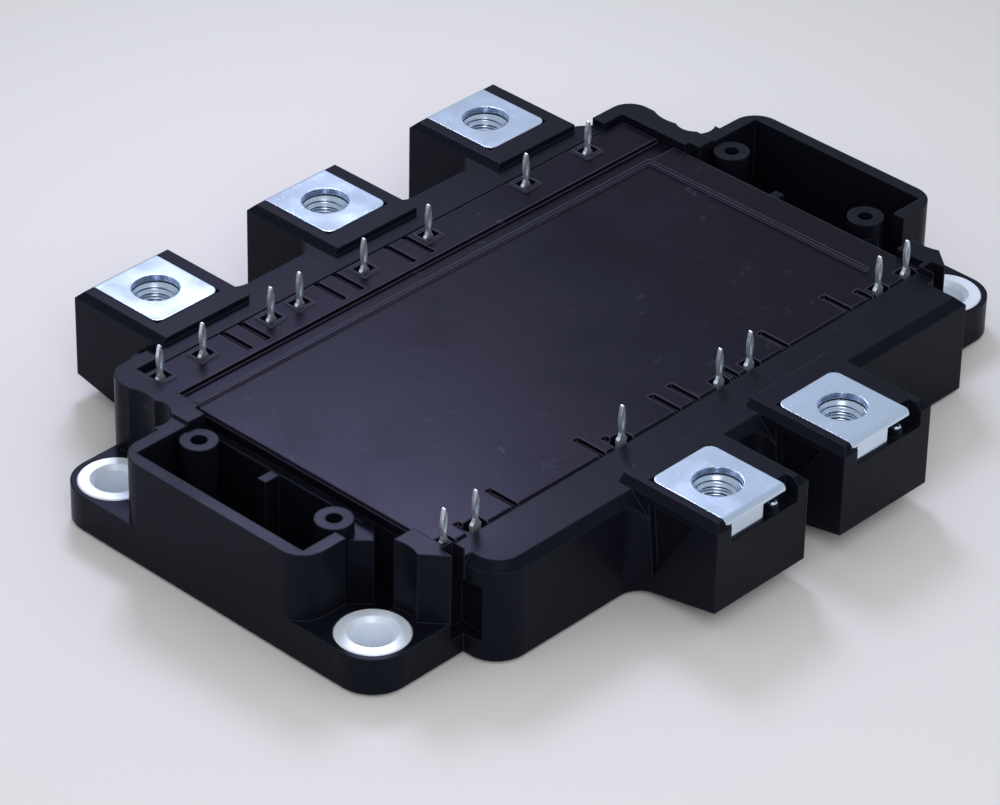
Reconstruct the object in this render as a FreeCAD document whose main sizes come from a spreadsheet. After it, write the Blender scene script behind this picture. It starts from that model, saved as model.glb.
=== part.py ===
import FreeCAD, Part
import math
import os

import Sketcher

# A five-terminal power transistor module with a flat black housing, about 130 by 103 mm.
# The origin is the middle of the base plate's underside, which sits on the heatsink.
# X runs along the module, Y across it from the two output terminals to the three supply
# terminals, and Z points up. All lengths are in millimetres.

SIZES = {
    # Housing: outline, ears, corner posts and end boxes
    "module_length": 130.0,
    "ear_width": 62.0,
    "ear_height": 6.0,
    "ear_radius": 5.6,
    "plate_stand": 0.3,
    "body_length": 96.0,
    "body_width": 74.4,
    "body_radius": 5.0,
    "deck_height": 15.8,
    "shoulder_drop": 1.3,
    "back_step": 14.0,
    "wall_fillet": 3.0,
    "post_height": 17.0,
    "post_reach": 53.5,
    "post_bevel_long": 2.9,
    "post_bevel_wide": 3.6,
    "post_back": 33.0,
    "post_back_inner": 45.4,
    "post_back_radius": 3.5,
    "end_width": 36.0,
    "end_height": 16.6,
    "end_wall": 2.0,
    "end_radius": 4.0,
    "end_sill": 50.4,
    "trough_width": 32.0,
    "trough_floor": 3.2,
    "trough_rib": 1.6,
    "trough_rib_reach": 2.6,
    "trough_rib_place": 2.2,
    # Bosses for the circuit board screws
    "boss_spacing_long": 108.6,
    "boss_spacing_wide": 26.0,
    "boss_height": 16.0,
    "boss_outer": 5.4,
    "boss_bore": 2.3,
    "boss_depth": 10.0,
    # Mounting holes, their sleeves and the room for the screw heads
    "hole_spacing_long": 118.0,
    "hole_spacing_wide": 50.0,
    "sleeve_bore": 5.6,
    "sleeve_outer": 10.6,
    "sleeve_proud": 0.1,
    "head_room": 6.2,
    "web_x": 55.6,
    "web_y": 21.5,
    "web_radius": 3.0,
    "web_reach": 57.2,
    "niche_inner": 49.0,
    "niche_outer": 57.0,
    "niche_near": 14.0,
    "niche_far": 23.0,
    "rib_height": 13.6,
    "rib_width": 3.4,
    "rib_start": 9.9,
    "rib_length": 5.0,
    # Slim slots beside the corner posts
    "slot_outer": 50.4,
    "slot_inner": 48.1,
    "slot_depth_wide": 2.2,
    "core_width": 3.0,
    "core_height": 12.0,
    # Base plate and the circuit under the lid
    "base_length": 94.0,
    "base_width": 66.0,
    "base_thick": 3.0,
    "base_radius": 2.0,
    "cavity_length": 91.0,
    "cavity_width": 47.0,
    "bay_wall": 1.0,
    "step_width": 43.0,
    "step_height": 7.0,
    "tile_outer_length": 36.5,
    "tile_middle_length": 14.6,
    "tile_width": 41.0,
    "tile_thick": 1.0,
    "tile_gap": 1.0,
    "chip_side": 11.0,
    "diode_side": 8.0,
    "chip_thick": 0.4,
    "chip_x": 34.5,
    "diode_x": 18.5,
    "chip_y": 8.5,
    "thermistor_length": 3.2,
    "thermistor_width": 1.6,
    "thermistor_height": 1.1,
    "ribbon_width": 3.0,
    "ribbon_thick": 0.3,
    "ribbon_rise": 1.8,
    # Lid
    "lid_half_length": 49.3,
    "lid_front": 28.0,
    "lid_back": 30.5,
    "lid_height": 16.0,
    "lid_thick": 2.0,
    "lid_bevel": 0.4,
    "lid_gap": 0.15,
    "channel_inner": 19.7,
    "channel_outer": 23.3,
    "channel_depth": 0.8,
    "bead_width": 0.8,
    "bead_height": 0.4,
    "bead_left": 48.7,
    "bead_right": 43.4,
    "groove_width": 1.2,
    "groove_depth": 0.8,
    "groove_long": 5.4,
    "groove_short": 3.0,
    "bar_start": 24.3,
    # Press-fit pins and the holes they pass through
    "pin_row_front": 26.9,
    "pin_row_back": 27.9,
    "pin_tip": 21.3,
    "pin_point": 0.7,
    "pin_thick": 0.8,
    "pin_blade": 0.9,
    "pin_foot_reach": 22.0,
    "pin_foot_thick": 0.8,
    "eye_width": 1.3,
    "eye_low": 17.2,
    "eye_high": 20.4,
    "eye_slot": 0.4,
    "shoulder_width": 1.8,
    "shoulder_low": 14.6,
    "shoulder_high": 16.2,
    "pin_hole_long": 2.8,
    "pin_hole_wide": 2.2,
    "pad_side": 3.3,
    "pad_rise": 0.3,
    # Power terminals
    "terminal_top": 17.0,
    "terminal_thick": 1.0,
    "terminal_width": 12.0,
    "terminal_inner": 37.3,
    "terminal_outer": 51.0,
    "terminal_corner": 1.4,
    "terminal_bend": 0.8,
    "terminal_hole": 7.0,
    "terminal_hole_row": 44.1,
    "strap_width": 6.4,
    "strap_inset": 1.1,
    "strap_reach": 18.5,
    # Terminal blocks, with the nuts they hold
    "block_margin": 2.3,
    "block_margin_back": 2.7,
    "block_margin_front": 2.1,
    "peg_margin": 4.1,
    "block_sink": 0.1,
    "block_outer": 51.5,
    "block_rise": 2.8,
    "block_root": 33.6,
    "block_bevel": 1.0,
    "gusset_depth": 1.1,
    "gusset_top": 14.8,
    "gusset_low": 3.6,
    "gusset_inner": 39.2,
    "gusset_outer": 47.1,
    "gusset_foot": 40.3,
    "seat_gap": 0.1,
    "rim_height": 13.4,
    "rim_notch": 2.4,
    "rim_side": 0.5,
    "peg_radius": 0.9,
    "peg_height": 14.6,
    "nut_flats": 10.0,
    "nut_height": 5.0,
    "nut_bore": 5.0,
    "nut_gap": 0.15,
    "screw_room": 7.0,
    "screw_floor": 6.4,
}

BACK_TERMINALS = {"terminal_dc_plus": -33.4, "terminal_neutral": 0.2, "terminal_dc_minus": 33.8}
FRONT_TERMINALS = {"terminal_out_1": -13.0, "terminal_out_2": 12.7}
FRONT_PINS = (-47.8, -41.8, -13.3, 6.6, 12.9, 40.6, 46.7)
BACK_PINS = (-47.6, -39.5, -26.4, -20.8, -8.0, 5.1, 25.5, 38.8)
LONG_GROOVES = (-35.1, -18.0, -2.8, 0.9, 19.8, 33.3)
SHORT_GROOVES = (-43.7, -15.0, 9.3, 37.8)
BACK_BARS = (-33.7, -30.2, -15.4, -11.8, -1.3, 2.4)


class Dim:
    """A length that keeps the sheet expression it was worked out from."""

    def __init__(self, number, text):
        self.number = number
        self.text = text

    def __add__(self, other):
        other = dim(other)
        return Dim(self.number + other.number, "(%s + %s)" % (self.text, other.text))

    def __sub__(self, other):
        other = dim(other)
        return Dim(self.number - other.number, "(%s - %s)" % (self.text, other.text))

    def __mul__(self, factor):
        return Dim(self.number * factor, "(%s * %r)" % (self.text, factor))

    def __truediv__(self, factor):
        return Dim(self.number / factor, "(%s / %r)" % (self.text, factor))

    def __neg__(self):
        return Dim(-self.number, "(-%s)" % self.text)

    __radd__ = __add__
    __rmul__ = __mul__


def dim(value):
    if isinstance(value, Dim):
        return value
    return Dim(float(value), repr(float(value)))


class Sizes:
    """Every driving size by its name, each one tied to its own cell."""


doc = FreeCAD.newDocument("power_module")
sheet = doc.addObject("Spreadsheet::Sheet", "Sizes")
size = Sizes()
for row, (alias, number) in enumerate(SIZES.items(), start=1):
    sheet.set("A%d" % row, alias)
    sheet.set("B%d" % row, "%g" % number)
    sheet.setAlias("B%d" % row, alias)
    setattr(size, alias, Dim(number, "Sizes." + alias))
doc.recompute()

sub_parts = []


def origin_plane(body, role):
    for feature in body.Origin.OriginFeatures:
        if feature.Role == role:
            return feature
    raise ValueError(role)


def new_body(name, place=None):
    """Starts a sub-part whose label is also the name of its file."""
    body = doc.addObject("PartDesign::Body", name)
    body.Label = name
    if place:
        set_place(body, place)
    sub_parts.append(body)
    return body


def set_place(item, place):
    for axis, value in zip("xyz", place):
        item.setExpression("Placement.Base." + axis, dim(value).text)


def new_sketch(body, name, role, level):
    sketch = body.newObject("Sketcher::SketchObject", name)
    sketch.AttachmentSupport = [(origin_plane(body, role), "")]
    sketch.MapMode = "FlatFace"
    sketch.setExpression("AttachmentOffset.Base.z", dim(level).text)
    return sketch


def hold_points(sketch, places):
    """Holds line ends and circle centres at places read from the sheet."""
    constraints = []
    values = []
    for index, end, x, y in places:
        for kind, value in (("DistanceX", x), ("DistanceY", y)):
            constraints.append(Sketcher.Constraint(kind, -1, 1, index, end, value.number))
            values.append(value)
    first = sketch.ConstraintCount
    sketch.addConstraint(constraints)
    for number, value in enumerate(values, start=first):
        sketch.setExpression("Constraints[%d]" % number, value.text)


def add_outlines(sketch, outlines):
    lines = []
    joins = []
    places = []
    for points in outlines:
        points = [(dim(x), dim(y)) for x, y in points]
        first = len(lines)
        last = first + len(points) - 1
        for start, stop in zip(points, points[1:] + points[:1]):
            a = FreeCAD.Vector(start[0].number, start[1].number, 0)
            b = FreeCAD.Vector(stop[0].number, stop[1].number, 0)
            lines.append(Part.LineSegment(a, b))
        for index, (x, y) in enumerate(points, start=first):
            following = first if index == last else index + 1
            joins.append(Sketcher.Constraint("Coincident", index, 2, following, 1))
            places.append((index, 1, x, y))
    sketch.addGeometry(lines, False)
    sketch.addConstraint(joins)
    hold_points(sketch, places)


def add_circles(sketch, circles):
    circles = [(dim(x), dim(y), dim(radius)) for x, y, radius in circles]
    up = FreeCAD.Vector(0, 0, 1)
    for x, y, radius in circles:
        sketch.addGeometry(Part.Circle(FreeCAD.Vector(x.number, y.number, 0), up, radius.number), False)
    hold_points(sketch, [(index, 3, x, y) for index, (x, y, radius) in enumerate(circles)])
    for index, (x, y, radius) in enumerate(circles):
        number = sketch.addConstraint(Sketcher.Constraint("Radius", index, radius.number))
        sketch.setExpression("Constraints[%d]" % number, radius.text)


def box_points(x_low, x_high, y_low, y_high):
    return [(x_low, y_low), (x_high, y_low), (x_high, y_high), (x_low, y_high)]


def extrude(body, kind, name, sketch, length, middle=False):
    """Pads a sketch along its normal, or pockets it the other way."""
    feature = body.newObject("PartDesign::" + kind, name)
    feature.Profile = sketch
    feature.Refine = True
    feature.setExpression("Length", dim(length).text)
    if middle:
        feature.SideType = "Symmetric"
    return feature


def pad(body, name, outlines, low, high, role="XY_Plane"):
    sketch = new_sketch(body, name + "_outline", role, low)
    add_outlines(sketch, outlines)
    return extrude(body, "Pad", name, sketch, dim(high) - dim(low))


def pocket(body, name, outlines, low, high):
    sketch = new_sketch(body, name + "_outline", "XY_Plane", high)
    add_outlines(sketch, outlines)
    return extrude(body, "Pocket", name, sketch, dim(high) - dim(low))


def round_pocket(body, name, circles, low, high):
    sketch = new_sketch(body, name + "_outline", "XY_Plane", high)
    add_circles(sketch, circles)
    return extrude(body, "Pocket", name, sketch, dim(high) - dim(low))


def dress(body, kind, name, amount, chosen):
    """Rounds or bevels the edges that a test picks from the body as it stands."""
    doc.recompute()
    base = body.Tip
    names = ["Edge%d" % n for n, edge in enumerate(base.Shape.Edges, start=1) if chosen(edge)]
    if not names:
        raise ValueError("no edge found for " + name)
    feature = body.newObject("PartDesign::" + kind, name)
    feature.Base = (base, names)
    feature.setExpression("Radius" if kind == "Fillet" else "Size", dim(amount).text)
    return feature


def near(one, other):
    return abs(one - other) < 0.01


def is_upright(edge):
    box = edge.BoundBox
    return box.XLength < 0.01 and box.YLength < 0.01


def is_level(edge, height):
    box = edge.BoundBox
    return box.ZLength < 0.01 and near(box.ZMin, height)


# Places that several pieces share
frame_bottom = size.plate_stand
hole_x = size.hole_spacing_long / 2
hole_y = size.hole_spacing_wide / 2
boss_x = size.boss_spacing_long / 2
boss_y = size.boss_spacing_wide / 2
half_length = size.module_length / 2
half_ear = size.ear_width / 2
half_body = size.body_width / 2
half_end = size.end_width / 2
above_all = size.post_height + 5
tile_top = size.base_thick + size.tile_thick
chip_top = tile_top + size.chip_thick
lid_under = size.lid_height - size.lid_thick
terminal_under = size.terminal_top - size.terminal_thick
block_top = size.terminal_top - size.block_sink
nut_top = terminal_under - size.nut_gap
nut_floor = nut_top - size.nut_height
CORNERS = [(sx, sy) for sx in (-1, 1) for sy in (-1, 1)]
FRONT_CORNERS = [(-1, -1), (1, -1)]


def terminal_places():
    """Name, middle and side of each terminal: +1 for the supply side, -1 for the output side."""
    for name, x in BACK_TERMINALS.items():
        yield name, dim(x), 1
    for name, x in FRONT_TERMINALS.items():
        yield name, dim(x), -1


def pin_places():
    """Number, place along the module and side of each pin."""
    number = 0
    for side, row in ((-1, FRONT_PINS), (1, BACK_PINS)):
        for x in row:
            number += 1
            yield number, dim(x), side


def pin_row(side):
    return size.pin_row_back if side > 0 else -size.pin_row_front


def strap_sides(x):
    """The narrow strap below each terminal plate stands towards one side of it."""
    low = x - size.terminal_width / 2 + size.strap_inset
    return low, low + size.strap_width


def block_sides(x, side):
    """The two ends of a plastic block. Output blocks keep room for a peg on one side."""
    half = size.terminal_width / 2
    left = size.block_margin_front if side < 0 else size.block_margin_back
    right = size.peg_margin if side < 0 else size.block_margin
    return x - half - left, x + half + right


def hexagon(x, y, flats):
    """Corners of a hexagon whose flats lie across Y."""
    reach = flats / math.sqrt(3)
    return [(x + reach * round(math.cos(math.radians(60 * n)), 12),
             y + reach * round(math.sin(math.radians(60 * n)), 12)) for n in range(6)]


def strap_profile(side):
    """The folded strap seen from its end: down the block's outer end, then in to the circuit."""
    outer = size.terminal_outer
    inner = outer - size.terminal_thick
    return [(outer * side, terminal_under), (outer * side, tile_top), (size.strap_reach * side, tile_top),
            (size.strap_reach * side, tile_top + size.terminal_thick),
            (inner * side, tile_top + size.terminal_thick), (inner * side, terminal_under)]


def profile_pad(body, name, points, low, high):
    """Pads a profile drawn across the module between two places along it."""
    sketch = new_sketch(body, name + "_outline", "YZ_Plane", low)
    add_outlines(sketch, [points])
    return extrude(body, "Pad", name, sketch, dim(high) - dim(low))


def profile_pocket(body, name, points, low, high):
    sketch = new_sketch(body, name + "_outline", "YZ_Plane", high)
    add_outlines(sketch, [points])
    return extrude(body, "Pocket", name, sketch, dim(high) - dim(low))


def make_base_plate():
    body = new_body("base_plate")
    half_x = size.base_length / 2
    half_y = size.base_width / 2
    pad(body, "plate", [box_points(-half_x, half_x, -half_y, half_y)], 0, size.base_thick)
    dress(body, "Fillet", "corners", size.base_radius, is_upright)


def make_sleeve(number, sx, sy):
    """A turned metal sleeve that takes the clamping force of one mounting screw."""
    body = new_body("sleeve_%d" % number, (hole_x * sx, hole_y * sy, 0))
    sketch = new_sketch(body, "section", "XZ_Plane", 0)
    inner = size.sleeve_bore / 2
    outer = size.sleeve_outer / 2
    top = size.ear_height + size.sleeve_proud
    add_outlines(sketch, [[(inner, 0), (outer, 0), (outer, top), (inner, top)]])
    turn = body.newObject("PartDesign::Revolution", "turned")
    turn.Profile = sketch
    turn.ReferenceAxis = (sketch, ["V_Axis"])


def make_frame():
    """The moulded housing: ears, end boxes, posts, deck and blocks, then everything cut from them."""
    body = new_body("frame")
    pad(body, "floor", [box_points(-half_length, half_length, -half_ear, half_ear)],
        frame_bottom, size.ear_height)
    dress(body, "Fillet", "ear_corners", size.ear_radius, is_upright)
    pad(body, "ends", [box_points(-half_length, half_length, -half_end, half_end)],
        frame_bottom, size.end_height)
    dress(body, "Fillet", "end_corners", size.end_radius,
          lambda edge: is_upright(edge) and edge.BoundBox.ZMax > size.ear_height.number + 1)
    half_x = size.body_length / 2
    pad(body, "body", [box_points(-half_x, half_x, -half_body, half_body)],
        frame_bottom, size.deck_height)
    dress(body, "Fillet", "body_corners", size.body_radius,
          lambda edge: is_upright(edge) and near(abs(edge.BoundBox.YMin), half_body.number)
          and (edge.BoundBox.XMin < 0 or edge.BoundBox.YMin > 0))
    posts = []
    back_posts = []
    webs = []
    for side in (-1, 1):
        reach = size.post_reach * side
        bevel = (size.post_reach - size.post_bevel_long) * side
        root = (size.post_reach - 8) * side
        posts.append([(root, -half_ear), (bevel, -half_ear), (reach, size.post_bevel_wide - half_ear),
                      (reach, half_end), (root, half_end)])
        back_posts.append(box_points(size.post_back_inner * side, reach, half_end, size.post_back))
        webs.append(box_points((size.post_reach - 1) * side, size.web_reach * side,
                               half_end - 0.1, size.web_y - 1))
    pad(body, "posts", posts, frame_bottom, size.post_height)
    pad(body, "back_posts", back_posts, frame_bottom, size.post_height)
    dress(body, "Fillet", "post_corners", size.post_back_radius,
          lambda edge: is_upright(edge) and near(edge.BoundBox.YMin, size.post_back.number)
          and near(abs(edge.BoundBox.XMin), size.post_reach.number))
    pad(body, "room_webs", webs, frame_bottom, size.end_height)
    pocket(body, "output_side_clear",
           [box_points(-half_x, half_x, -half_ear - 1, dim(0))], size.deck_height, above_all)
    dress(body, "Chamfer", "shoulder", size.shoulder_drop,
          lambda edge: is_level(edge, size.deck_height.number) and edge.BoundBox.YMin < -half_ear.number - 1)
    steps = []
    for name, x, side in list(terminal_places())[:3:2]:
        low, high = block_sides(x, side)
        steps.append(box_points(low, -half_x - 1, size.post_back, half_body + 1) if x.number < 0
                     else box_points(high, half_x + 1, size.post_back, half_body + 1))
    pocket(body, "corner_steps", steps, size.back_step, size.deck_height + 0.5)
    make_blocks(body)
    make_end_pockets(body)
    make_cavity(body)
    make_terminal_seats(body)


def make_blocks(body):
    """Five terminal blocks that stand out from the long walls, each with a sloping underside."""
    sides = []
    for name, x, side in terminal_places():
        low_x, high_x = block_sides(x, side)
        sides.append((low_x.number, high_x.number, side))
        root = size.block_root * side
        knee = half_body * side
        end = size.block_outer * side
        profile_pad(body, name + "_block",
                    [(root, frame_bottom), (knee, frame_bottom), (end, frame_bottom + size.block_rise),
                     (end, block_top), (root, block_top)], low_x, high_x)

    def is_block_rim(edge):
        box = edge.BoundBox
        if not is_level(edge, block_top.number) or abs(box.YMax + box.YMin) / 2 < half_body.number:
            return False
        if box.YLength < 0.01:
            return near(abs(box.YMin), size.block_outer.number)
        return any(near(box.XMin, low) or (side < 0 and near(box.XMin, high)) for low, high, side in sides)

    dress(body, "Chamfer", "block_rims", size.block_bevel, is_block_rim)
    dress(body, "Fillet", "block_roots", size.wall_fillet,
          lambda edge: is_upright(edge) and near(abs(edge.BoundBox.YMin), half_body.number)
          and abs(edge.BoundBox.XMin) < size.body_length.number / 2 - size.body_radius.number - 2)
    for name, x, side in terminal_places():
        if side < 0:
            low_x, high_x = block_sides(x, side)
            profile_pocket(body, name + "_gusset",
                           [(-size.gusset_inner, size.gusset_top), (-size.gusset_outer, size.gusset_top),
                            (-size.gusset_foot, size.gusset_low)], low_x - 1, low_x + size.gusset_depth)


def make_end_pockets(body):
    """The open trough at each end, the screw head rooms, the niches and the slim slots."""
    troughs = []
    sills = []
    for side in (-1, 1):
        inner = size.end_sill * side
        outer = (half_length - size.end_wall) * side
        half = size.trough_width / 2
        troughs.append(box_points(inner, outer, -half, half))
        sills.append(box_points(size.niche_inner * side, inner, -half_end, half_end))
    pocket(body, "troughs", troughs, size.trough_floor, above_all)
    pocket(body, "sills", sills, lid_under, above_all)
    round_pocket(body, "head_rooms", [(hole_x * sx, hole_y * sy, size.head_room) for sx, sy in CORNERS],
                 size.ear_height, above_all)
    round_pocket(body, "room_corners",
                 [(size.web_x * sx, size.web_y, size.web_radius) for sx in (-1, 1)],
                 size.ear_height, above_all)
    niches = []
    slots = []
    cores = []
    for sx, sy in FRONT_CORNERS:
        niches.append(box_points(size.niche_inner * sx, size.niche_outer * sx,
                                 size.niche_near * sy, size.niche_far * sy))
        slots.append(box_points(size.slot_inner * sx, size.slot_outer * sx,
                                (half_ear - size.slot_depth_wide) * sy, (half_ear + 1) * sy))
        cores.append(box_points((size.slot_inner - 2) * sx, (size.slot_inner + 0.1) * sx,
                                (half_ear - size.slot_depth_wide) * sy, (half_ear + size.core_width) * sy))
    pocket(body, "niches", niches, size.trough_floor, above_all)
    pocket(body, "wall_slots", slots, size.trough_floor, above_all)
    pocket(body, "wall_cores", cores, size.trough_floor, size.core_height)
    ribs = []
    webs = []
    for sx, sy in FRONT_CORNERS:
        ribs.append(rib_points(sx, sy))
    pad(body, "corner_ribs", ribs, size.trough_floor, size.rib_height)
    for sx in (-1, 1):
        wall = size.end_sill * sx
        place = size.trough_rib_place
        half = size.trough_rib / 2
        webs.append(box_points(wall, wall + size.trough_rib_reach * sx, place - half, place + half))
    pad(body, "trough_ribs", webs, size.trough_floor, lid_under)
    sketch = new_sketch(body, "bosses_outline", "XY_Plane", size.trough_floor)
    add_circles(sketch, [(boss_x * sx, boss_y * sy, size.boss_outer / 2) for sx, sy in CORNERS])
    extrude(body, "Pad", "bosses", sketch, size.boss_height - size.trough_floor)
    round_pocket(body, "boss_bores", [(boss_x * sx, boss_y * sy, size.boss_bore / 2) for sx, sy in CORNERS],
                 size.boss_height - size.boss_depth, above_all)
    round_pocket(body, "sleeve_seats",
                 [(hole_x * sx, hole_y * sy, size.sleeve_outer / 2) for sx, sy in CORNERS], 0, above_all)


def rib_points(sx, sy):
    """A short rib that faces the screw head and runs in from it at 45 degrees."""
    turn = math.sqrt(0.5)
    start = size.rib_start
    stop = start + size.rib_length
    half = size.rib_width / 2
    points = []
    for along, across in ((start, -half), (stop, -half), (stop, half), (start, half)):
        points.append(((hole_x - (along + across) * turn) * sx + 1.0 * sx,
                       (hole_y - (along - across) * turn) * sy - 1.2 * sy))
    return points


def make_cavity(body):
    """The room for the circuit, the seat of the base plate and the recess that takes the lid."""
    half_x = size.cavity_length / 2
    pocket(body, "cavity",
           [box_points(-half_x, half_x, -size.cavity_width / 2, size.cavity_width / 2)],
           size.step_height, above_all)
    pocket(body, "well", [box_points(-half_x, half_x, -size.step_width / 2, size.step_width / 2)],
           0, size.step_height)
    plate_x = size.base_length / 2
    plate_y = size.base_width / 2
    pocket(body, "plate_seat", [box_points(-plate_x, plate_x, -plate_y, plate_y)], 0, size.base_thick)
    lid_x = size.lid_half_length + size.lid_gap
    pocket(body, "lid_seat",
           [box_points(-lid_x, lid_x, -size.lid_front - size.lid_gap, size.lid_back + size.lid_gap)],
           lid_under, above_all)
    blades = []
    feet = []
    for number, x, side in pin_places():
        row = pin_row(side)
        half = size.pin_thick / 2
        blades.append(box_points(x - size.pin_blade / 2, x + size.pin_blade / 2, row - half, row + half))
        feet.append(box_points(x - size.pin_blade / 2, x + size.pin_blade / 2,
                               size.pin_foot_reach * side, row + half * side))
    pocket(body, "pin_feet", feet, size.step_height, size.step_height + size.pin_foot_thick)
    pocket(body, "pin_blades", blades, size.step_height, lid_under)
    pocket(body, "foot_bays",
           [box_points((half_x - 0.5) * sx, (size.lid_half_length - size.bay_wall) * sx,
                       size.pin_foot_reach * sy, (size.cavity_width / 2 + 0.5) * sy) for sx, sy in CORNERS],
           size.step_height, lid_under)


def make_terminal_seats(body):
    """Rooms for plates, straps, nuts and screw ends, and the notch and peg at each outer end."""
    seats = []
    nuts = []
    screws = []
    notches = []
    for name, x, side in terminal_places():
        half = size.terminal_width / 2 + size.seat_gap
        seats.append(box_points(x - half, x + half, size.terminal_inner * side - size.seat_gap * side,
                                (size.block_outer + 1) * side))
        nuts.append(hexagon(x, size.terminal_hole_row * side, size.nut_flats + size.nut_gap * 2))
        screws.append((x, size.terminal_hole_row * side, size.screw_room / 2))
        low, high = strap_sides(x)
        right = x + size.terminal_width / 2
        if side < 0:
            right += size.peg_margin / 2
        notches.append(box_points(low - size.rim_side, right,
                                  (size.block_outer - size.rim_notch) * side, (size.block_outer + 1) * side))
    pocket(body, "plate_seats", seats, terminal_under, above_all)
    pocket(body, "nut_seats", nuts, nut_floor, terminal_under)
    round_pocket(body, "screw_rooms", screws, size.screw_floor, nut_floor)
    pocket(body, "strap_notches", notches, size.rim_height, above_all)
    sketch = new_sketch(body, "pegs_outline", "XY_Plane", size.rim_height - 1)
    add_circles(sketch, [(x + size.terminal_width / 2 - size.peg_radius * 2,
                          (size.block_outer - size.rim_notch / 2) * side, size.peg_radius)
                         for name, x, side in terminal_places()])
    extrude(body, "Pad", "pegs", sketch, size.peg_height - size.rim_height + 1)
    for name, x, side in terminal_places():
        low, high = strap_sides(x)
        profile_pocket(body, name + "_strap_room", strap_profile(side), low, high)


def make_terminal(name, x, side):
    """A copper plate over the nut, folded down at its outer end and in again to the circuit."""
    body = new_body(name, (x, 0, 0))
    half = size.terminal_width / 2
    pad(body, "plate", [box_points(-half, half, size.terminal_inner * side, size.terminal_outer * side)],
        terminal_under, size.terminal_top)
    dress(body, "Fillet", "plate_corners", size.terminal_corner,
          lambda edge: is_upright(edge) and near(abs(edge.BoundBox.YMin), size.terminal_inner.number))
    low, high = strap_sides(dim(0))
    profile_pad(body, "strap", strap_profile(side), low, high)
    dress(body, "Fillet", "bend", size.terminal_bend,
          lambda edge: is_level(edge, size.terminal_top.number)
          and near(abs(edge.BoundBox.YMin), size.terminal_outer.number) and edge.BoundBox.YLength < 0.01)
    round_pocket(body, "hole", [(0, size.terminal_hole_row * side, size.terminal_hole / 2)],
                 terminal_under - 0.5, size.terminal_top)


def make_nut(number, x, side):
    body = new_body("nut_%d" % number, (x, size.terminal_hole_row * side, nut_floor))
    pad(body, "hexagon", [hexagon(dim(0), dim(0), size.nut_flats)], 0, size.nut_height)
    round_pocket(body, "bore", [(0, 0, size.nut_bore / 2)], 0, size.nut_height)


def make_pin(number, x, side):
    """A flat press-fit pin with a split elastic eye, a shoulder and a foot on the inner ledge."""
    body = new_body("pin_%02d" % number, (x, pin_row(side), 0))
    blade = size.pin_blade / 2
    eye = size.eye_width / 2
    shoulder = size.shoulder_width / 2
    middle = (size.eye_low + size.eye_high) / 2
    right = [(blade, size.step_height), (blade, size.shoulder_low), (shoulder, size.shoulder_low),
             (shoulder, size.shoulder_high), (blade, size.shoulder_high), (blade, size.eye_low),
             (eye, middle - 0.5), (eye, middle + 0.5), (blade / 2, size.eye_high),
             (blade / 2, size.pin_tip - size.pin_point), (blade / 4, size.pin_tip)]
    left = [(-px, pz) for px, pz in reversed(right)]
    sketch = new_sketch(body, "blade_outline", "XZ_Plane", -size.pin_thick / 2)
    add_outlines(sketch, [right + left])
    extrude(body, "Pad", "blade", sketch, size.pin_thick)
    foot_end = size.pin_foot_reach * side - pin_row(side)
    pad(body, "foot", [box_points(-blade, blade, foot_end, size.pin_thick / 2 * side)],
        size.step_height, size.step_height + size.pin_foot_thick)
    slot = new_sketch(body, "eye_outline", "XZ_Plane", -size.pin_thick)
    half = size.eye_slot / 2
    add_outlines(slot, [[(-half, middle - 0.9), (0, middle - 1.2), (half, middle - 0.9),
                       (half, middle + 0.9), (0, middle + 1.2), (-half, middle + 0.9)]])
    cut = extrude(body, "Pocket", "eye", slot, size.pin_thick * 2)
    return body, cut


def make_lid():
    """A flat cover that drops into its recess, with a shallow channel along the supply side."""
    body = new_body("lid")
    half_x = size.lid_half_length
    pad(body, "cover", [box_points(-half_x, half_x, -size.lid_front, size.lid_back)],
        lid_under, size.lid_height)
    dress(body, "Chamfer", "rim", size.lid_bevel, lambda edge: is_level(edge, size.lid_height.number))
    pocket(body, "channel",
           [box_points(-size.bead_left, half_x + 1, size.channel_inner, size.channel_outer)],
           size.lid_height - size.channel_depth, size.lid_height + 1)
    pad(body, "bead",
        [box_points(-size.bead_left, size.bead_right, size.channel_inner - size.bead_width, size.channel_inner),
         box_points(size.bead_right - size.bead_width, size.bead_right, -size.lid_front + 5,
                    size.channel_inner - size.bead_width)],
        size.lid_height - size.channel_depth, size.lid_height + size.bead_height)
    grooves = []
    for row, length in ((LONG_GROOVES, size.groove_long), (SHORT_GROOVES, size.groove_short)):
        for x in row:
            x = dim(x)
            half = size.groove_width / 2
            grooves.append(box_points(x - half, x + half, -size.lid_front - 1, length - size.lid_front))
    for x in BACK_BARS:
        x = dim(x)
        half = size.groove_width / 2
        grooves.append(box_points(x - half, x + half, size.bar_start, size.lid_back + 1))
    pocket(body, "grooves", grooves, size.lid_height - size.groove_depth, size.lid_height + 1)
    pads = []
    holes = []
    for number, x, side in pin_places():
        row = pin_row(side)
        long = size.pin_hole_long / 2
        wide = size.pin_hole_wide / 2
        if side > 0:
            pads.append(box_points(x - size.pad_side / 2, x + size.pad_side / 2,
                                   row - size.pad_side / 2, row + size.pad_side / 2))
            holes.append(box_points(x - long, x + long, row - wide, row + wide))
        else:
            holes.append(box_points(x - long, x + long, -size.lid_front - 1, row + wide))
    pad(body, "pads", pads, size.lid_height - 0.5, size.lid_height + size.pad_rise)
    pocket(body, "pin_holes", holes, lid_under - 1, size.lid_height + 1)


def make_slab(name, x, y, bottom, long, wide, thick):
    body = new_body(name, (x, y, bottom))
    pad(body, "slab", [box_points(-long / 2, long / 2, -wide / 2, wide / 2)], 0, thick)
    return body


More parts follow.
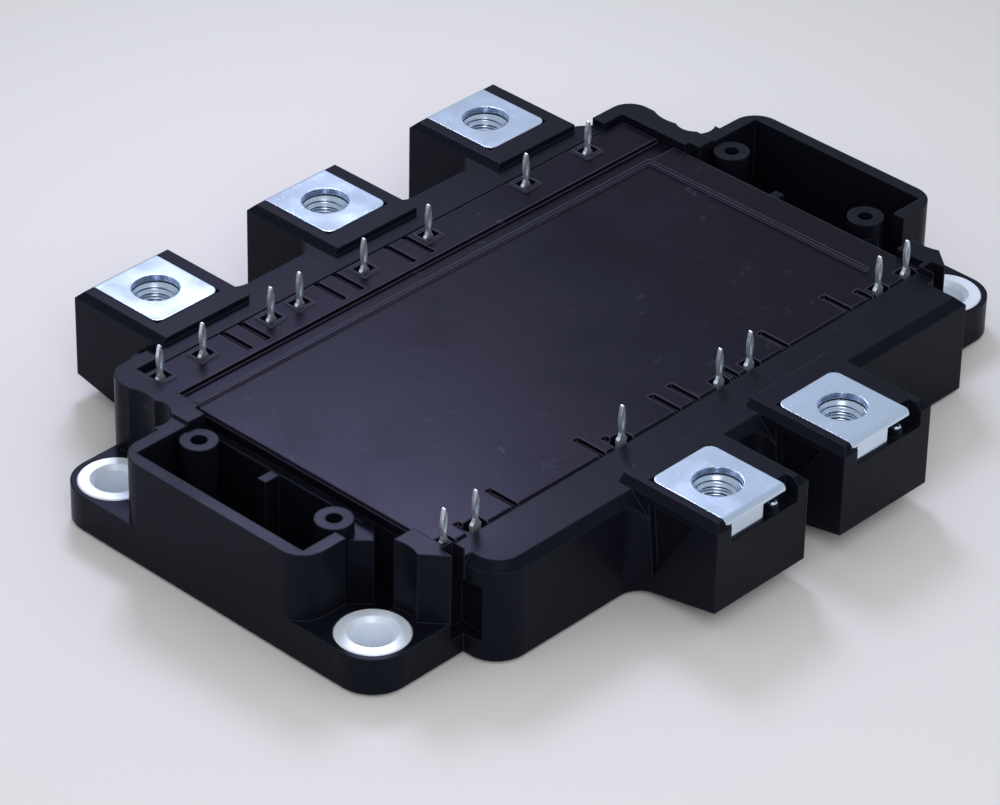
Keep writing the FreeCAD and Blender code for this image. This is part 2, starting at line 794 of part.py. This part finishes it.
def make_circuit():
    """Three insulating tiles on the base plate with the chips, the sensor and the ribbons on them."""
    outer_x = size.tile_middle_length / 2 + size.tile_gap + size.tile_outer_length / 2
    base = size.base_thick
    make_slab("tile_left", -outer_x, dim(0), base, size.tile_outer_length, size.tile_width, size.tile_thick)
    make_slab("tile_middle", dim(0), dim(0), base, size.tile_middle_length, size.tile_width, size.tile_thick)
    make_slab("tile_right", outer_x, dim(0), base, size.tile_outer_length, size.tile_width, size.tile_thick)
    for number, (sx, sy) in enumerate(CORNERS, start=1):
        make_slab("switch_chip_%d" % number, size.chip_x * sx, size.chip_y * sy, tile_top,
                  size.chip_side, size.chip_side, size.chip_thick)
        make_slab("diode_chip_%d" % number, size.diode_x * sx, size.chip_y * sy, tile_top,
                  size.diode_side, size.diode_side, size.chip_thick)
    make_slab("thermistor", dim(0), -size.chip_y, tile_top, size.thermistor_length,
              size.thermistor_width, size.thermistor_height)
    for number, (sx, sy) in enumerate(CORNERS, start=1):
        make_ribbon(number, sx, sy)


def make_ribbon(number, sx, sy):
    """An aluminium ribbon that joins a switch chip to its diode in one low arch."""
    body = new_body("ribbon_%d" % number, (0, size.chip_y * sy, 0))
    foot = dim(2.0)
    ends = [(size.chip_x * sx, 1), (size.diode_x * sx, -1)]
    start = ends[0][0] + foot * sx * 0.5
    stop = ends[1][0] - foot * sx * 0.5
    inner_start = start - foot * sx
    inner_stop = stop + foot * sx
    low = chip_top
    high = chip_top + size.ribbon_rise
    thick = size.ribbon_thick
    slope = dim(1.5) * sx
    sketch = new_sketch(body, "arch", "XZ_Plane", -size.ribbon_width / 2)
    add_outlines(sketch, [[(start, low), (inner_start, low), (inner_start - slope, high),
                         (inner_stop + slope, high), (inner_stop, low), (stop, low), (stop, low + thick),
                         (inner_stop, low + thick), (inner_stop + slope * 0.95, high + thick),
                         (inner_start - slope * 0.95, high + thick), (inner_start, low + thick),
                         (start, low + thick)]])
    extrude(body, "Pad", "ribbon", sketch, size.ribbon_width)


make_base_plate()
for number, (sx, sy) in enumerate(CORNERS, start=1):
    make_sleeve(number, sx, sy)
make_frame()
for number, (name, x, side) in enumerate(terminal_places(), start=1):
    make_terminal(name, x, side)
    make_nut(number, x, side)
for number, x, side in pin_places():
    make_pin(number, x, side)
make_lid()
make_circuit()
doc.recompute()

for item in doc.Objects:
    if "Invalid" in item.State or "Error" in item.State:
        raise RuntimeError("%s could not be built: %s" % (item.Label, item.State))
for body in sub_parts:
    shape = body.Shape
    if shape.isNull() or not shape.isValid() or len(shape.Solids) != 1:
        raise RuntimeError(body.Label + " isn't one valid solid")

os.makedirs("parts", exist_ok=True)
for body in sub_parts:
    body.Shape.exportStep("parts/%s.step" % body.Label)
print("%d sub-parts written" % len(sub_parts))
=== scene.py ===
import math

import bmesh
import bpy
from mathutils import Matrix, Vector


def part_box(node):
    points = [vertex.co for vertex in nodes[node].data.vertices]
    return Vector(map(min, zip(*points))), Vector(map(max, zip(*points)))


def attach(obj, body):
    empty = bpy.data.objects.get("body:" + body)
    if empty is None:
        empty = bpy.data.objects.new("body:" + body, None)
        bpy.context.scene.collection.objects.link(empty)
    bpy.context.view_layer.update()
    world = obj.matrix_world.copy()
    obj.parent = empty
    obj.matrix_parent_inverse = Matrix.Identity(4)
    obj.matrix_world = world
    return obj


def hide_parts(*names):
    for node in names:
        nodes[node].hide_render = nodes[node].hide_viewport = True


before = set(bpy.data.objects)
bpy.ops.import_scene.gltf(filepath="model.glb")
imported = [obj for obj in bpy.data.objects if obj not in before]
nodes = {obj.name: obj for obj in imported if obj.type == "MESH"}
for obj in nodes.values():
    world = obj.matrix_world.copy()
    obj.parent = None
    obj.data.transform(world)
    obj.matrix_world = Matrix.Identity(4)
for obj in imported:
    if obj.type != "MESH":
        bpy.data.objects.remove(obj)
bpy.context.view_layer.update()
bpy.context.scene.view_settings.view_transform = "Standard"


# base plate
# A flat copper plate closes the underside and carries the heat into the heatsink. It is plated
# with nickel, and faint marks from rolling run along it.
def new_group(name, inputs, outputs):
    """A shader node group with named sockets, and its input and output nodes."""
    group = bpy.data.node_groups.new(name, "ShaderNodeTree")
    for label, kind, value in inputs:
        socket = group.interface.new_socket(label, in_out="INPUT", socket_type=kind)
        socket.default_value = value
    for label, kind in outputs:
        group.interface.new_socket(label, in_out="OUTPUT", socket_type=kind)
    return group, group.nodes.new("NodeGroupInput"), group.nodes.new("NodeGroupOutput")


def add_node(tree, kind, **settings):
    node = tree.nodes.new(kind)
    for key, value in settings.items():
        if key in node.inputs.keys():
            node.inputs[key].default_value = value
        else:
            setattr(node, key, value)
    return node


def maths(tree, operation, first, second):
    node = tree.nodes.new("ShaderNodeMath")
    node.operation = operation
    for slot, value in enumerate((first, second)):
        if isinstance(value, (int, float)):
            node.inputs[slot].default_value = value
        else:
            tree.links.new(value, node.inputs[slot])
    return node.outputs[0]


def spread(tree, value, low, high, to_low=0.0, to_high=1.0):
    """Stretches a value from one range to another, and holds it at the ends."""
    node = tree.nodes.new("ShaderNodeMapRange")
    node.inputs["From Min"].default_value = low
    node.inputs["From Max"].default_value = high
    node.inputs["To Min"].default_value = to_low
    node.inputs["To Max"].default_value = to_high
    tree.links.new(value, node.inputs["Value"])
    return node.outputs["Result"]


def mix_colour(tree, amount, first, second):
    node = tree.nodes.new("ShaderNodeMix")
    node.data_type = "RGBA"
    tree.links.new(amount, node.inputs[0])
    node.inputs[6].default_value = first
    node.inputs[7].default_value = second
    return node.outputs[2]


def noise(tree, coordinates, scale, detail, roughness):
    node = add_node(tree, "ShaderNodeTexNoise", Scale=scale, Detail=detail, Roughness=roughness)
    tree.links.new(coordinates, node.inputs["Vector"])
    return node.outputs["Fac"]


# Rounded arris: a normal that turns softly over each edge, and a mask of where it does
arris, g_in, g_out = new_group("Rounded arris", [("Radius", "NodeSocketFloat", 0.0003)],
                               [("Normal", "NodeSocketVector"), ("Edge", "NodeSocketFloat")])
round_normal = arris.nodes.new("ShaderNodeBevel")
round_normal.samples = 6
arris.links.new(g_in.outputs["Radius"], round_normal.inputs["Radius"])
true_normal = arris.nodes.new("ShaderNodeNewGeometry")
turned = add_node(arris, "ShaderNodeVectorMath", operation="DOT_PRODUCT")
arris.links.new(round_normal.outputs["Normal"], turned.inputs[0])
arris.links.new(true_normal.outputs["Normal"], turned.inputs[1])
flat_share, edge_share = 0.995, 0.86
edge = spread(arris, turned.outputs["Value"], flat_share, edge_share)
arris.links.new(round_normal.outputs["Normal"], g_out.inputs["Normal"])
arris.links.new(edge, g_out.inputs["Edge"])


def new_material(name):
    material = bpy.data.materials.new(name)
    material.use_nodes = True
    tree = material.node_tree
    return material, tree, tree.nodes["Principled BSDF"]


def place_group(tree, group, **values):
    node = tree.nodes.new("ShaderNodeGroup")
    node.node_tree = group
    for name, value in values.items():
        node.inputs[name].default_value = value
    return node


def bump(tree, height, normal, strength, distance):
    node = add_node(tree, "ShaderNodeBump", Strength=strength, Distance=distance)
    tree.links.new(height, node.inputs["Height"])
    tree.links.new(normal, node.inputs["Normal"])
    return node.outputs["Normal"]


# Plated metal: rolling marks as a height, cloudy tarnish and fine scratches
plating, g_in, g_out = new_group(
    "Plated metal", [("Grain", "NodeSocketFloat", 900.0), ("Stretch", "NodeSocketFloat", 12.0)],
    [("Height", "NodeSocketFloat"), ("Tarnish", "NodeSocketFloat"), ("Scratches", "NodeSocketFloat")])
place = plating.nodes.new("ShaderNodeTexCoord").outputs["Object"]
apart = plating.nodes.new("ShaderNodeSeparateXYZ")
plating.links.new(place, apart.inputs[0])
along = maths(plating, "DIVIDE", apart.outputs["Y"], g_in.outputs["Stretch"])
joined = plating.nodes.new("ShaderNodeCombineXYZ")
plating.links.new(apart.outputs["X"], joined.inputs["X"])
plating.links.new(along, joined.inputs["Y"])
plating.links.new(apart.outputs["Z"], joined.inputs["Z"])
rolled = add_node(plating, "ShaderNodeTexNoise", Detail=3.0, Roughness=0.6)
plating.links.new(joined.outputs[0], rolled.inputs["Vector"])
plating.links.new(g_in.outputs["Grain"], rolled.inputs["Scale"])
cloud_scale, scratch_scale = 170.0, 1500.0
cloud = noise(plating, place, cloud_scale, 4.0, 0.6)
fine = noise(plating, place, scratch_scale, 2.0, 0.8)
plating.links.new(rolled.outputs["Fac"], g_out.inputs["Height"])
plating.links.new(spread(plating, cloud, 0.4, 0.68), g_out.inputs["Tarnish"])
plating.links.new(spread(plating, fine, 0.66, 0.74), g_out.inputs["Scratches"])

tarnish_share = 0.5
scratch_roughness = 0.12
grain_strength, grain_depth = 0.2, 0.00002


def metal(name, colour, dull, rough_low, rough_high, grain, stretch, radius, metallic=1.0):
    """Plated or bare metal, duller and rougher where the tarnish lies."""
    material, tree, shader = new_material(name)
    edges = place_group(tree, arris, Radius=radius)
    surface = place_group(tree, plating, Grain=grain, Stretch=stretch)
    tarnish = maths(tree, "MULTIPLY", surface.outputs["Tarnish"], tarnish_share)
    tree.links.new(mix_colour(tree, tarnish, colour, dull), shader.inputs["Base Color"])
    rough = spread(tree, surface.outputs["Tarnish"], 0.0, 1.0, rough_low, rough_high)
    scratched = maths(tree, "MULTIPLY", surface.outputs["Scratches"], scratch_roughness)
    tree.links.new(maths(tree, "ADD", rough, scratched), shader.inputs["Roughness"])
    grained = bump(tree, surface.outputs["Height"], edges.outputs["Normal"], grain_strength, grain_depth)
    tree.links.new(grained, shader.inputs["Normal"])
    shader.inputs["Metallic"].default_value = metallic
    return material


def dress(names, material):
    """Puts a material on the solids of the given names."""
    for name in names:
        for slot in nodes[name].material_slots:
            slot.link = "OBJECT"
            slot.material = material


base_nickel = metal("Base nickel", (0.62, 0.63, 0.67, 1.0), (0.48, 0.49, 0.52, 1.0), 0.25, 0.4,
                    500.0, 20.0, 0.0003)
dress(["base_plate"], base_nickel)


# circuit under the lid
# Etched copper on ceramic tiles carries the silicon switches and diodes, and aluminium ribbons
# are bonded from chip to chip. Nothing of it shows while the lid is on.
circuit_copper = metal("Circuit copper", (0.75, 0.42, 0.27, 1.0), (0.5, 0.26, 0.16, 1.0), 0.3, 0.5,
                       800.0, 1.0, 0.0001)
dress(["tile_left", "tile_middle", "tile_right"], circuit_copper)
silicon_grey = metal("Silicon grey", (0.2, 0.21, 0.25, 1.0), (0.12, 0.12, 0.15, 1.0), 0.15, 0.25,
                     1200.0, 1.0, 0.0001)
dress(["thermistor"], silicon_grey)
for number in range(1, 5):
    dress(["switch_chip_%d" % number, "diode_chip_%d" % number], silicon_grey)
ribbon_bright = metal("Ribbon aluminium", (0.85, 0.86, 0.88, 1.0), (0.7, 0.71, 0.73, 1.0), 0.25, 0.4,
                      900.0, 8.0, 0.0001)
dress(["ribbon_%d" % number for number in range(1, 5)], ribbon_bright)


# moulded housing
# The housing is one injection moulding in glass-filled black polyester. Its skin is satin with
# a fine pebble from the tool, the arrises are slightly rounded, and handling has left faint
# pale scuffs on them. The arrises are also painted paler as a painted highlight along each edge.

# Moulded skin: the tool's pebble, slow drifts of gloss and a few pale scuffs
skin, g_in, g_out = new_group(
    "Moulded skin", [("Pebble", "NodeSocketFloat", 2600.0), ("Drift", "NodeSocketFloat", 60.0)],
    [("Height", "NodeSocketFloat"), ("Gloss drift", "NodeSocketFloat"), ("Scuffs", "NodeSocketFloat")])
place = skin.nodes.new("ShaderNodeTexCoord").outputs["Object"]
pebble = add_node(skin, "ShaderNodeTexNoise", Detail=2.0, Roughness=0.6)
skin.links.new(place, pebble.inputs["Vector"])
skin.links.new(g_in.outputs["Pebble"], pebble.inputs["Scale"])
drift = add_node(skin, "ShaderNodeTexNoise", Detail=4.0, Roughness=0.55)
skin.links.new(place, drift.inputs["Vector"])
skin.links.new(g_in.outputs["Drift"], drift.inputs["Scale"])
streak_scale = 420.0
streak = noise(skin, place, streak_scale, 3.0, 0.7)
scuffs = maths(skin, "MULTIPLY", spread(skin, streak, 0.62, 0.74),
               spread(skin, drift.outputs["Fac"], 0.45, 0.65))
skin.links.new(pebble.outputs["Fac"], g_out.inputs["Height"])
skin.links.new(drift.outputs["Fac"], g_out.inputs["Gloss drift"])
skin.links.new(scuffs, g_out.inputs["Scuffs"])


scuff_share = 0.35
gloss_drift = 0.06
pebble_strength, pebble_depth = 0.2, 0.00003


def plastic(name, colour, scuff_and_edge_light_colour, rough, pebble_scale, radius, edge_light_and_wear, shine, tint):
    """Satin moulded plastic. Shine scales its gloss, and tint leans that gloss to a cooler black. Its arrises are
    painted toward the paler colour, partly as wear and partly as a painted highlight.
    """
    material, tree, shader = new_material(name)
    edges = place_group(tree, arris, Radius=radius)
    surface = place_group(tree, skin, Pebble=pebble_scale)
    # Painted highlight and wear: the rounded arrises are lightened toward the paler colour.
    edge_light_and_wear_mask = maths(tree, "MULTIPLY", edges.outputs["Edge"], edge_light_and_wear)
    scuff_and_edge_light_mask = maths(tree, "MAXIMUM", edge_light_and_wear_mask, maths(tree, "MULTIPLY", surface.outputs["Scuffs"], scuff_share))
    tree.links.new(mix_colour(tree, scuff_and_edge_light_mask, colour, scuff_and_edge_light_colour), shader.inputs["Base Color"])
    tree.links.new(spread(tree, surface.outputs["Gloss drift"], 0.3, 0.7, rough - gloss_drift, rough + gloss_drift),
                   shader.inputs["Roughness"])
    pebbled = bump(tree, surface.outputs["Height"], edges.outputs["Normal"], pebble_strength, pebble_depth)
    tree.links.new(pebbled, shader.inputs["Normal"])
    shader.inputs["Specular IOR Level"].default_value = shine
    shader.inputs["Specular Tint"].default_value = tint
    return material


# The paler colour lightens the arrises, partly as wear and partly as a painted highlight.
housing_black = plastic("Housing black", (0.0062, 0.0068, 0.0112, 1.0), (0.035, 0.038, 0.05, 1.0), 0.34,
                        2600.0, 0.0003, 0.6, 0.07, (0.62, 0.68, 1.0, 1.0))
dress(["frame"], housing_black)


sharp_above = math.radians(30.0)


def turned_mesh(name, profile, steps):
    """A closed profile of (radius, height) pairs, in metres, turned round the Z axis."""
    shape = bmesh.new()
    rings = []
    for step in range(steps):
        turn = 2 * math.pi * step / steps
        rings.append([shape.verts.new((radius * math.cos(turn), radius * math.sin(turn), height))
                      for radius, height in profile])
    for step, ring in enumerate(rings):
        following = rings[(step + 1) % steps]
        for n in range(len(profile)):
            m = (n + 1) % len(profile)
            shape.faces.new((ring[n], following[n], following[m], ring[m]))
    bmesh.ops.recalc_face_normals(shape, faces=shape.faces[:])
    mesh = bpy.data.meshes.new(name)
    shape.to_mesh(mesh)
    shape.free()
    mesh.shade_smooth()
    mesh.set_sharp_from_angle(angle=sharp_above)
    return mesh


def add_piece(name, mesh, place, material, replaced=()):
    """Stands a mesh on the module, in place of the solids that it replaces."""
    mesh.materials.append(material)
    piece = bpy.data.objects.new(name, mesh)
    bpy.context.scene.collection.objects.link(piece)
    piece.location = place
    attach(piece, "root")
    if replaced:
        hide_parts(*replaced)
    return piece


# The marks that the ejector pins leave on the deck between the output blocks
deck_height = 0.0158
axis_gap = 0.00002
mark_radius = 0.00055
mark_rise = 0.00012
mark_root = -0.0002
mark_steps = 20
mark_profile = [(axis_gap, mark_root), (mark_radius, mark_root), (mark_radius, mark_rise * 0.6),
                (mark_radius * 0.8, mark_rise), (mark_radius * 0.4, mark_rise * 0.7), (axis_gap, mark_rise * 0.6)]
mark_places = [(-0.0171, -0.0324), (-0.0050, -0.0342), (0.0086, -0.0325), (0.0211, -0.0325)]
for number, (x, y) in enumerate(mark_places, start=1):
    add_piece("ejector_mark_%d" % number, turned_mesh("ejector_mark", mark_profile, mark_steps),
              (x, y, deck_height), housing_black)


# mounting sleeves
# Four turned steel sleeves are moulded into the ears. Their bright faces stand a hair proud of
# the plastic, so that the screw clamps metal and not the housing.
sleeve_bright = metal("Sleeve bright", (0.88, 0.94, 1.0, 1.0), (0.82, 0.9, 0.98, 1.0), 0.34, 0.46,
                      1400.0, 1.0, 0.0002, metallic=0.2)
sleeve_bore = 0.0028
sleeve_rim = 0.0053
rim_chamfer = 0.00025
mouth_wide, mouth_narrow = 0.0007, 0.0001
mouth_depth, mouth_end = 0.0006, 0.0008
sleeve_steps = 72


def middle(low, high):
    """The middle of a box, on its lower face."""
    return (low[0] + high[0]) / 2, (low[1] + high[1]) / 2, low[2]


for number in range(1, 5):
    node = "sleeve_%d" % number
    low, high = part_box(node)
    top = high[2] - low[2]
    profile = [(sleeve_bore, 0.0), (sleeve_rim, 0.0), (sleeve_rim, top - rim_chamfer),
               (sleeve_rim - rim_chamfer, top), (sleeve_bore + mouth_wide, top),
               (sleeve_bore + mouth_narrow, top - mouth_depth), (sleeve_bore, top - mouth_end)]
    add_piece("turned_sleeve_%d" % number, turned_mesh("turned_sleeve", profile, sleeve_steps),
              middle(low, high), sleeve_bright, [node])


# nuts
# A plain M6 nut lies loose in a hexagon pocket under each plate. It is zinc plated, and its
# thread shows through the plate's hole.
nut_zinc = metal("Nut zinc", (0.66, 0.73, 0.84, 1.0), (0.5, 0.56, 0.66, 1.0), 0.2, 0.32,
                 700.0, 1.0, 0.0001)
nut_flats = 0.010
nut_height = 0.005
nut_chamfer = 0.0005
crown_share = 0.97
thread_pitch = 0.001
thread_minor, thread_major = 0.0025, 0.00305
thread_mouth, mouth_slope = 0.0033, 0.9
crest_share, flank_share = 0.12, 0.7
nut_steps = 60
thread_rows = 44
thread_start = 4


def nut_column(turn):
    """One slice of the nut, from its outer foot over the top and down the thread."""
    side = math.radians(60)
    outer = nut_flats / 2 / math.cos(turn % side - side / 2)
    crown = nut_flats / 2 * crown_share
    column = [(crown, 0.0), (outer, nut_chamfer), (outer, nut_height - nut_chamfer), (crown, nut_height)]
    for row in range(thread_rows + 1):
        height = nut_height * (1 - row / thread_rows)
        phase = (height / thread_pitch - turn / (2 * math.pi)) % 1.0
        depth = min(1.0, max(0.0, (abs(2 * phase - 1) - crest_share) / flank_share))
        radius = thread_minor + (thread_major - thread_minor) * depth
        mouth = thread_mouth - min(height, nut_height - height) * mouth_slope
        column.append((max(radius, mouth), height))
    return column


def nut_mesh():
    """The slices joined round the axis. Only the thread is smooth, and the flats stay flat."""
    shape = bmesh.new()
    columns = []
    for step in range(nut_steps):
        turn = 2 * math.pi * step / nut_steps
        columns.append([shape.verts.new((radius * math.cos(turn), radius * math.sin(turn), height))
                        for radius, height in nut_column(turn)])
    for step, column in enumerate(columns):
        following = columns[(step + 1) % nut_steps]
        for n in range(len(column)):
            m = (n + 1) % len(column)
            face = shape.faces.new((column[n], following[n], following[m], column[m]))
            face.smooth = thread_start <= n < len(column) - 1
    bmesh.ops.recalc_face_normals(shape, faces=shape.faces[:])
    mesh = bpy.data.meshes.new("threaded_nut")
    shape.to_mesh(mesh)
    shape.free()
    return mesh


for number in range(1, 6):
    node = "nut_%d" % number
    add_piece("threaded_nut_%d" % number, nut_mesh(), middle(*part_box(node)), nut_zinc, [node])


# power terminals
# Each terminal is stamped from copper, bent round its nut and plated with nickel. The plating
# is satin, with short rolling marks along the strip and a cloudy tarnish.
supply_terminals = ["terminal_dc_plus", "terminal_neutral", "terminal_dc_minus"]
output_terminals = ["terminal_out_1", "terminal_out_2"]
terminal_nickel = metal("Terminal nickel", (0.68, 0.77, 0.9, 1.0), (0.6, 0.7, 0.84, 1.0), 0.17, 0.24,
                        900.0, 14.0, 0.0002)
dress(supply_terminals + output_terminals, terminal_nickel)

# A bright tip caps the small peg beside each output terminal's strap
tip_radius = 0.0007
tip_low, tip_height = 0.0144, 0.0007
tip_steps = 24
peg_inset, peg_y = 0.0018, -0.0503
tip_profile = [(axis_gap, 0.0), (tip_radius, 0.0), (tip_radius, tip_height * 0.5),
               (tip_radius * 0.87, tip_height * 0.78), (tip_radius * 0.5, tip_height * 0.914),
               (axis_gap, tip_height)]
for number, node in enumerate(output_terminals, start=1):
    low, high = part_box(node)
    add_piece("peg_tip_%d" % number, turned_mesh("peg_tip", tip_profile, tip_steps),
              (high[0] - peg_inset, peg_y, tip_low), terminal_nickel)


# press-fit pins
# The control pins are stamped from a copper alloy strip and tin plated. Each has a split eye
# that springs into a plated hole of the driver board.
pin_tin = metal("Pin tin", (0.84, 0.90, 0.98, 1.0), (0.7, 0.77, 0.88, 1.0), 0.24, 0.36,
                1800.0, 4.0, 0.0001, metallic=0.75)
pin_thick = 0.0006
pin_room = 0.0008
pin_arris = 0.00009
hair = 1e-6
# Heights with the half width of the blade and of its eye, in millimetres
pin_shape = [(7.0, 0.45, 0), (7.8, 0.45, 0), (14.5, 0.45, 0), (14.6, 0.9, 0), (15.9, 0.9, 0),
             (16.3, 0.55, 0), (16.9, 0.32, 0), (17.5, 0.38, 0), (17.8, 0.44, 0.08), (18.3, 0.52, 0.15),
             (18.9, 0.55, 0.18), (19.5, 0.51, 0.15), (19.9, 0.45, 0.08), (20.2, 0.38, 0), (20.7, 0.3, 0),
             (21.1, 0.2, 0), (21.3, 0.12, 0)]


def pin_mesh(reach):
    """The blade stands on Z, and its foot runs from it along Y to the given reach."""
    shape = bmesh.new()
    front = []
    for height, half, eye in pin_shape:
        front.append([shape.verts.new((x / 1000, -pin_thick / 2, height / 1000))
                      for x in (-half, -eye, eye, half)])
    for lower, upper in zip(front, front[1:]):
        shape.faces.new((lower[0], lower[1], upper[1], upper[0]))
        shape.faces.new((lower[2], lower[3], upper[3], upper[2]))
    bmesh.ops.remove_doubles(shape, verts=shape.verts[:], dist=hair / 10)
    behind = {corner: shape.verts.new(corner.co + Vector((0, pin_thick, 0))) for corner in shape.verts[:]}
    rims = [edge for edge in shape.edges if len(edge.link_faces) == 1]
    for face in shape.faces[:]:
        shape.faces.new([behind[corner] for corner in reversed(face.verts)])
    for edge in rims:
        one, other = edge.verts
        shape.faces.new((one, other, behind[other], behind[one]))
    back = math.copysign(pin_thick / 2, reach)
    foot_top = pin_shape[1][0] / 1000 + hair
    heel = [face for face in shape.faces
            if all(corner.co.z < foot_top and abs(corner.co.y - back) < hair for corner in face.verts)]
    grown = bmesh.ops.extrude_face_region(shape, geom=heel)["geom"]
    for corner in (item for item in grown if isinstance(item, bmesh.types.BMVert)):
        corner.co.y = reach
    bmesh.ops.delete(shape, geom=[face for face in heel if face.is_valid], context="FACES_ONLY")
    bmesh.ops.recalc_face_normals(shape, faces=shape.faces[:])
    mesh = bpy.data.meshes.new("press_fit_pin")
    shape.to_mesh(mesh)
    shape.free()
    return mesh


for number in range(1, 16):
    node = "pin_%02d" % number
    low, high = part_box(node)
    if low[1] < 0:
        row, foot_end = low[1] + pin_room / 2, high[1]
    else:
        row, foot_end = high[1] - pin_room / 2, low[1]
    piece = add_piece("press_fit_pin_%02d" % number, pin_mesh(foot_end - row),
                      ((low[0] + high[0]) / 2, row, 0.0), pin_tin, [node])
    rounding = piece.modifiers.new("stamped edges", "BEVEL")
    rounding.width = pin_arris
    rounding.segments = 2
    rounding.limit_method = "ANGLE"
    rounding.angle_limit = math.radians(35)


# lid
# The lid is a thinner moulding in a slightly browner black, pressed into its recess. Its broad
# flat face carries a finer texture, which catches light from the side. Its rims are painted much
# paler, as a painted highlight along each edge.
# The pale colour and the full edge share paint a highlight along the lid's rims.
lid_black = plastic("Lid black", (0.0040, 0.0034, 0.0072, 1.0), (0.10, 0.095, 0.14, 1.0), 0.30,
                    3200.0, 0.00034, 1.0, 0.08, (0.6, 0.55, 1.0, 1.0))
dress(["lid"], lid_black)


# studio
# A pale table runs into a pale backdrop, which metal mirrors too. A small softbox stands behind
# the module, so that its gloss fades across the lid, and a second lamp stands beside the camera.
floor_reach, floor_drop = 4.0, 0.0002
mesh = bpy.data.meshes.new("studio_floor")
mesh.from_pydata([(-floor_reach, -floor_reach, 0), (floor_reach, -floor_reach, 0),
                  (floor_reach, floor_reach, 0), (-floor_reach, floor_reach, 0)], [], [(0, 1, 2, 3)])
floor = bpy.data.objects.new("studio_floor", mesh)
bpy.context.scene.collection.objects.link(floor)
floor.location.z = -floor_drop
floor_pale, tree, shader = new_material("Studio pale")
shader.inputs["Base Color"].default_value = (0.83, 0.81, 0.765, 1.0)
shader.inputs["Roughness"].default_value = 0.8
mesh.materials.append(floor_pale)

# The backdrop as it is seen and mirrored, and the softer light that it gives
world = bpy.data.worlds.new("Studio")
bpy.context.scene.world = world
world.use_nodes = True
tree = world.node_tree
tree.nodes.clear()
rays = tree.nodes.new("ShaderNodeLightPath")
seen = add_node(tree, "ShaderNodeBackground", Color=(0.5, 0.56, 0.64, 1.0), Strength=1.0)
lit = add_node(tree, "ShaderNodeBackground", Color=(0.9, 0.94, 1.0, 1.0), Strength=0.68)
direct = maths(tree, "MAXIMUM", rays.outputs["Is Camera Ray"], rays.outputs["Is Transmission Ray"])
share = maths(tree, "MAXIMUM", direct, rays.outputs["Is Glossy Ray"])
mixed = tree.nodes.new("ShaderNodeMixShader")
tree.links.new(share, mixed.inputs[0])
tree.links.new(lit.outputs[0], mixed.inputs[1])
tree.links.new(seen.outputs[0], mixed.inputs[2])
tree.links.new(mixed.outputs[0], add_node(tree, "ShaderNodeOutputWorld").inputs[0])


def soft_lamp(name, place, aim, size, radiance, colour):
    """An area lamp whose face is as bright as the given share of white."""
    lamp = bpy.data.lights.new(name, "AREA")
    lamp.shape = "RECTANGLE"
    lamp.size, lamp.size_y = size
    lamp.energy = radiance * math.pi * size[0] * size[1]
    lamp.color = colour
    lamp_object = bpy.data.objects.new(name, lamp)
    bpy.context.scene.collection.objects.link(lamp_object)
    lamp_object.location = place
    lamp_object.rotation_euler = (Vector(aim) - Vector(place)).to_track_quat("-Z", "Y").to_euler()
    lamp_object.visible_camera = False
    return lamp_object


softbox = soft_lamp("softbox", (0.127, 0.186, 0.26), (-0.04, -0.01, 0.01), (0.095, 0.095), 3.1,
                    (0.68, 0.68, 1.0))
softbox.data.spread = math.radians(70.0)
soft_lamp("near_lamp", (-0.30, -0.34, 0.34), (-0.03, -0.03, 0.01), (0.24, 0.24), 3.2,
          (0.96, 0.96, 1.0))


# camera
# The photograph looks down along the module's diagonal through a long lens. The angles and the
# distance were fitted to the corners, holes and terminals that show in it.
azimuth, elevation, roll = math.radians(-46.836), math.radians(33.694), math.radians(1.158)
distance, focal_pixels = 0.68847, 4919.4
photo_width, sensor_width = 1000, 36.0
aim = Vector((-0.01007, -0.00119, 0.008))
back = Vector((math.sin(azimuth) * math.cos(elevation), -math.cos(azimuth) * math.cos(elevation),
               math.sin(elevation)))
right = Vector((math.cos(azimuth), math.sin(azimuth), 0.0))
up = back.cross(right)
turned_right = right * math.cos(roll) + up * math.sin(roll)
turned_up = up * math.cos(roll) - right * math.sin(roll)
camera_data = bpy.data.cameras.new("camera")
camera_data.sensor_width = sensor_width
camera_data.lens = focal_pixels / photo_width * sensor_width
camera_data.clip_start = 0.01
camera = bpy.data.objects.new("camera", camera_data)
bpy.context.scene.collection.objects.link(camera)
camera.matrix_world = Matrix(((turned_right.x, turned_up.x, back.x, aim.x + back.x * distance),
                              (turned_right.y, turned_up.y, back.y, aim.y + back.y * distance),
                              (turned_right.z, turned_up.z, back.z, aim.z + back.z * distance),
                              (0, 0, 0, 1)))
bpy.context.scene.camera = camera
